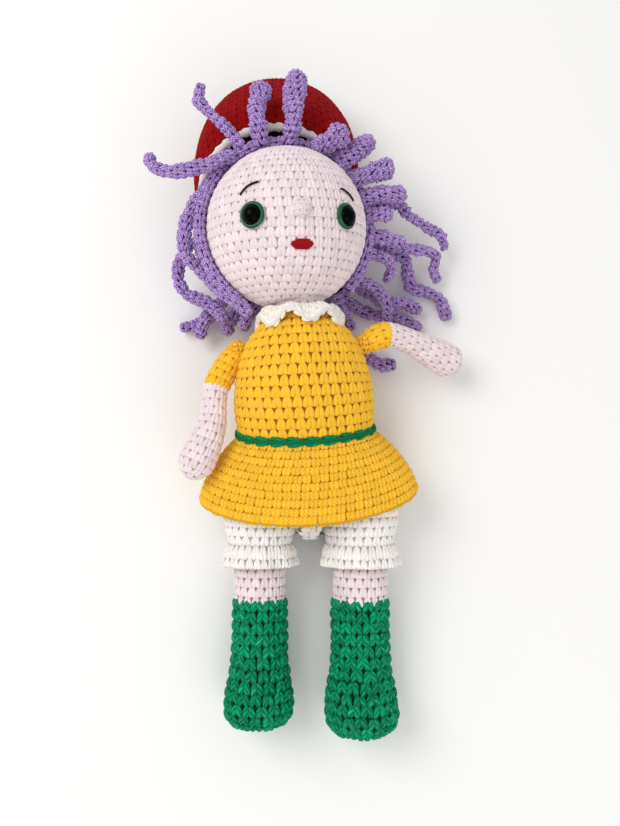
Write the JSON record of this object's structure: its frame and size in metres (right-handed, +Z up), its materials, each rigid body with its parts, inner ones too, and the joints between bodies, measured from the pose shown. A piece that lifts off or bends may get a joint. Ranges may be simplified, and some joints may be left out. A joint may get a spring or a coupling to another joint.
{
  "type": "crocheted doll",
  "caption": "Crocheted doll on its back: stuffed head, body, arms and legs, curled yarn hair, removable hat, belted dress, bloomers and boots.",
  "frame": {"origin": "centre of the doll's outline on the surface that it lies on", "axes": "+Z up out of the surface, the way the face and belly point; +Y towards the head; +X to the viewer's right"},
  "size_m": [0.1422, 0.304, 0.0775],
  "materials": {
    "golden_yarn": "matte crochet",
    "lilac_yarn": "matte crochet",
    "skin_yarn": "matte crochet",
    "white_yarn": "matte crochet",
    "cream_yarn": "matte crochet",
    "boot_yarn": "matte crochet",
    "belt_yarn": "matte crochet",
    "hat_yarn": "matte crochet",
    "lip_yarn": "matte embroidery",
    "brow_thread": "matte thread",
    "iris_plastic": "glossy",
    "pupil_plastic": "glossy",
    "washer_plastic": "moulded"
  },
  "bodies": {
    "trunk": {"torso": "golden_yarn", "skirt": "golden_yarn", "belt": "belt_yarn", "collar": "cream_yarn", "pelvis": "white_yarn"},
    "neck_post": {"neck": "skin_yarn"},
    "head_and_hair": {"head": "skin_yarn", "left_eye": "iris_plastic", "right_eye": "iris_plastic", "left_pupil": "pupil_plastic", "right_pupil": "pupil_plastic", "left_eye_washer": "washer_plastic", "right_eye_washer": "washer_plastic", "nose": "skin_yarn", "mouth": "lip_yarn", "left_brow": "brow_thread", "right_brow": "brow_thread", "wig_cap": "lilac_yarn", "curl_top_far_left": "lilac_yarn", "curl_left_flick": "lilac_yarn", "curl_top_left": "lilac_yarn", "curl_top_right": "lilac_yarn", "curl_crown_right": "lilac_yarn", "curl_brow_right": "lilac_yarn", "curl_temple_upper": "lilac_yarn", "curl_temple_lower": "lilac_yarn", "curl_cheek_upper": "lilac_yarn", "curl_cheek_lower": "lilac_yarn", "curl_far_right": "lilac_yarn", "curl_right_drop": "lilac_yarn", "curl_right_ladder": "lilac_yarn", "curl_jaw_right": "lilac_yarn", "curl_nape_right": "lilac_yarn", "curl_right_low": "lilac_yarn", "curl_right_low_tip": "lilac_yarn", "curl_under_arm": "lilac_yarn", "curl_neck_right": "lilac_yarn", "curl_left_long": "lilac_yarn", "curl_left_outer": "lilac_yarn", "curl_left_inner": "lilac_yarn", "curl_left_tip_low": "lilac_yarn", "curl_left_tip_down": "lilac_yarn", "curl_left_shoulder": "lilac_yarn", "curl_left_shadow": "lilac_yarn"},
    "knit_hat": {"hat": "hat_yarn", "hat_band": "cream_yarn"},
    "left_knot": {"left_shoulder_knot": "golden_yarn"},
    "left_whole_arm": {"left_sleeve": "golden_yarn", "left_arm": "skin_yarn"},
    "right_knot": {"right_shoulder_knot": "golden_yarn"},
    "right_whole_arm": {"right_sleeve": "golden_yarn", "right_arm": "skin_yarn"},
    "left_whole_leg": {"left_bloomer": "white_yarn", "left_ruffle": "white_yarn", "left_leg": "skin_yarn", "left_boot": "boot_yarn"},
    "right_whole_leg": {"right_bloomer": "white_yarn", "right_ruffle": "white_yarn", "right_leg": "skin_yarn", "right_boot": "boot_yarn"}
  },
  "joints": [
    {"name": "neck_turn", "type": "hinge", "parent": "trunk", "child": "neck_post", "pos_m": [-0.00363, 0.02797, 0.03492], "axis": [-0.1547, 0.9768, 0.148], "range_deg": [-15, 20]},
    {"name": "head_nod", "type": "hinge", "parent": "neck_post", "child": "head_and_hair", "pos_m": [-0.00947, 0.06484, 0.04051], "axis": [1, 0, 0], "range_deg": [-2, 10]},
    {"name": "hat_pull", "type": "slide", "parent": "head_and_hair", "child": "knit_hat", "axis": [0, 1, 0], "range_m": [0, 0.05]},
    {"name": "left_arm_raise", "type": "hinge", "parent": "trunk", "child": "left_knot", "pos_m": [-0.03103, 0.01179, 0.03206], "axis": [-0.01, 0.1905, -0.9816], "range_deg": [0, 90]},
    {"name": "left_arm_swing", "type": "hinge", "parent": "left_knot", "child": "left_whole_arm", "pos_m": [-0.03103, 0.01179, 0.03206], "axis": [-1, 0, 0], "range_deg": [0, 45]},
    {"name": "right_arm_raise", "type": "hinge", "parent": "trunk", "child": "right_knot", "pos_m": [0.0253, 0.01475, 0.03206], "axis": [0.01, -0.1905, 0.9816], "range_deg": [-55, 50]},
    {"name": "right_arm_swing", "type": "hinge", "parent": "right_knot", "child": "right_whole_arm", "pos_m": [0.0253, 0.01475, 0.03206], "axis": [0, -1, 0], "range_deg": [0, 45]},
    {"name": "left_hip", "type": "hinge", "parent": "trunk", "child": "left_whole_leg", "pos_m": [-0.02096, -0.055, 0.02], "axis": [-1, 0, 0], "range_deg": [-20, 20]},
    {"name": "right_hip", "type": "hinge", "parent": "trunk", "child": "right_whole_leg", "pos_m": [0.02304, -0.055, 0.02], "axis": [-1, 0, 0], "range_deg": [-20, 20]}
  ]
}
